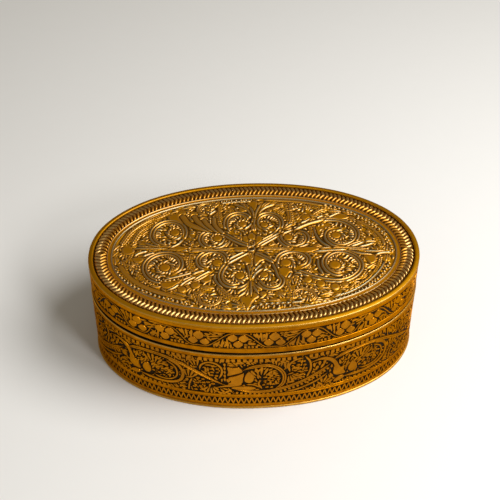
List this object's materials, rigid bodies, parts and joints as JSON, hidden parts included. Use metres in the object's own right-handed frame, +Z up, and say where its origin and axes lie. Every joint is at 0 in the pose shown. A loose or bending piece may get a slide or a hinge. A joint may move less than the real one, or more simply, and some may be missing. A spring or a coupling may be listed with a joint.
{
  "type": "oval lidded box",
  "caption": "Low oval brass box with a lift-off lid; repousse scrollwork on the top inside a gadroon ring, chased flower and animal friezes round the sides.",
  "frame": {"origin": "centre of the underside, at the height of the table", "axes": "+X along the long axis of the oval, +Z up through the lid, -Y towards the side seen in the picture"},
  "size_m": [0.1508, 0.0968, 0.0533],
  "materials": {
    "inner_brass": "dull, lightly scratched",
    "chased_brass": "worn satin with dark patina in the chased ground",
    "embossed_brass": "polished high spots, brown patina in the hollows",
    "rim_brass": "smooth, hand polished"
  },
  "bodies": {
    "box": {"floor_plate": "inner_brass", "body_wall": "chased_brass", "inner_collar": "inner_brass"},
    "lid": {"lid_wall": "chased_brass", "lid_top_plate": "embossed_brass", "lid_rim": "rim_brass"}
  },
  "joints": [
    {"name": "lid_lift", "type": "slide", "parent": "box", "child": "lid", "axis": [0, 0, 1], "range_m": [0, 0.06]}
  ]
}
